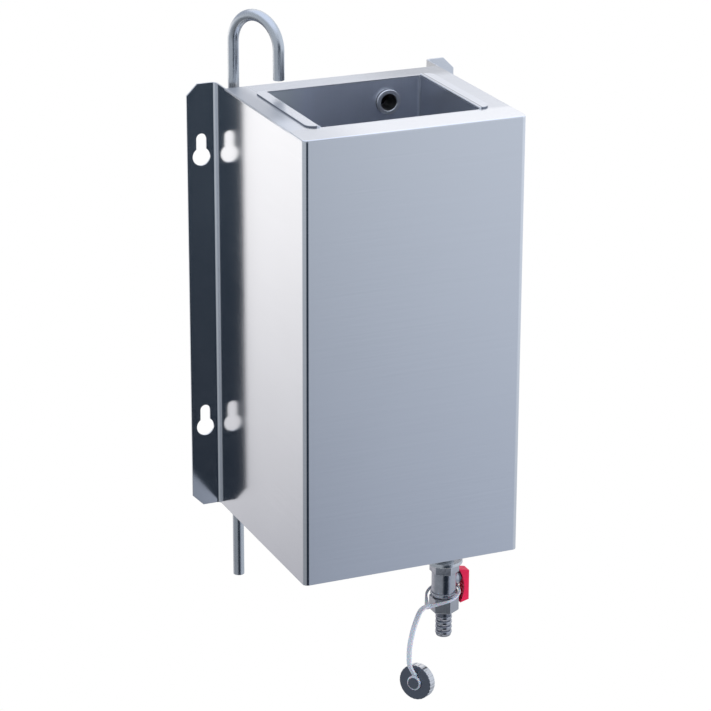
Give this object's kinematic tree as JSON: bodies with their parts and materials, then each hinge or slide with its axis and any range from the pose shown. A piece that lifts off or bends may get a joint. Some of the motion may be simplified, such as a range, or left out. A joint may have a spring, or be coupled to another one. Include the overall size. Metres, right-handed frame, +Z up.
{
  "type": "knife sterilizer",
  "caption": "Wall-hung knife sterilizer: insulated steel water tank, open at the top, with a bent inlet pipe, an overflow, and a drain ball valve with red lever and strap-held cap.",
  "frame": {"origin": "centre of the keyholes' round entries, on the wall plane", "axes": "+Y points into the wall and the front faces -Y; +X is the right hand side seen from the front; +Z is up"},
  "size_m": [0.252, 0.2, 0.604],
  "materials": {
    "stainless_sheet": "satin",
    "stainless_tube": "satin",
    "rigid_foam": "matte",
    "nickel_plated_brass": "gloss",
    "polished_ball": "polished",
    "ptfe": "matte",
    "black_rubber": "matte",
    "red_plastic": "gloss",
    "zinc_screw": "satin",
    "strap_plastic": "satin"
  },
  "bodies": {
    "cabinet": {"outer_shell": "stainless_sheet", "top_rim": "stainless_sheet", "inner_tank": "stainless_sheet", "rear_panel": "stainless_sheet", "bottom_panel": "stainless_sheet", "inlet_clip_upper": "stainless_sheet", "inlet_clip_lower": "stainless_sheet", "overflow_clip": "stainless_sheet", "clip_nuts": "stainless_sheet", "drain_collar": "stainless_sheet", "inlet_pipe": "stainless_tube", "overflow_pipe": "stainless_tube", "drain_pipe": "stainless_tube", "overflow_bush": "stainless_tube", "overflow_locknut": "stainless_tube", "insulation_left": "rigid_foam", "insulation_right": "rigid_foam", "insulation_front": "rigid_foam", "insulation_rear": "rigid_foam", "insulation_bottom": "rigid_foam", "overflow_gasket": "black_rubber", "valve_body": "nickel_plated_brass", "valve_end_piece": "nickel_plated_brass", "upper_ball_seat": "ptfe", "lower_ball_seat": "ptfe", "stem_packing": "ptfe", "gland_nut": "nickel_plated_brass"},
    "handle": {"valve_handle": "red_plastic", "handle_screw": "zinc_screw", "valve_stem": "nickel_plated_brass", "valve_ball": "polished_ball"},
    "hose_tail": {"hose_tail": "nickel_plated_brass", "tail_gasket": "black_rubber"},
    "union_nut": {"union_nut": "nickel_plated_brass"},
    "cap_strap": {"cap_strap": "strap_plastic"},
    "outlet_cap": {"outlet_cap": "nickel_plated_brass", "cap_gasket": "black_rubber"}
  },
  "joints": [
    {"name": "handle_turn", "type": "hinge", "parent": "cabinet", "child": "handle", "pos_m": [0.054, -0.15, -0.241], "axis": [-1, 0, 0], "range_deg": [0, 90]},
    {"name": "tail_slide", "type": "slide", "parent": "cabinet", "child": "hose_tail", "axis": [0, 0, -1], "range_m": [0, 0.00544]},
    {"name": "nut_turn", "type": "hinge", "parent": "hose_tail", "child": "union_nut", "pos_m": [0.054, -0.15, -0.2639], "axis": [0, 0, -1], "range_deg": [0, 1080]},
    {"name": "strap_swivel", "type": "hinge", "parent": "cabinet", "child": "cap_strap", "pos_m": [0.054, -0.15, -0.2561], "axis": [0, 0, 1], "range_deg": [-100, 100]},
    {"name": "cap_spin", "type": "hinge", "parent": "cap_strap", "child": "outlet_cap", "pos_m": [0.0182, -0.16669, -0.3285], "axis": [-0.827, -0.5578, 0.0698], "continuous": true}
  ],
  "couplings": [
    {"joint": "tail_slide", "follows": "nut_turn", "m_per_rad": 0.00028871}
  ]
}
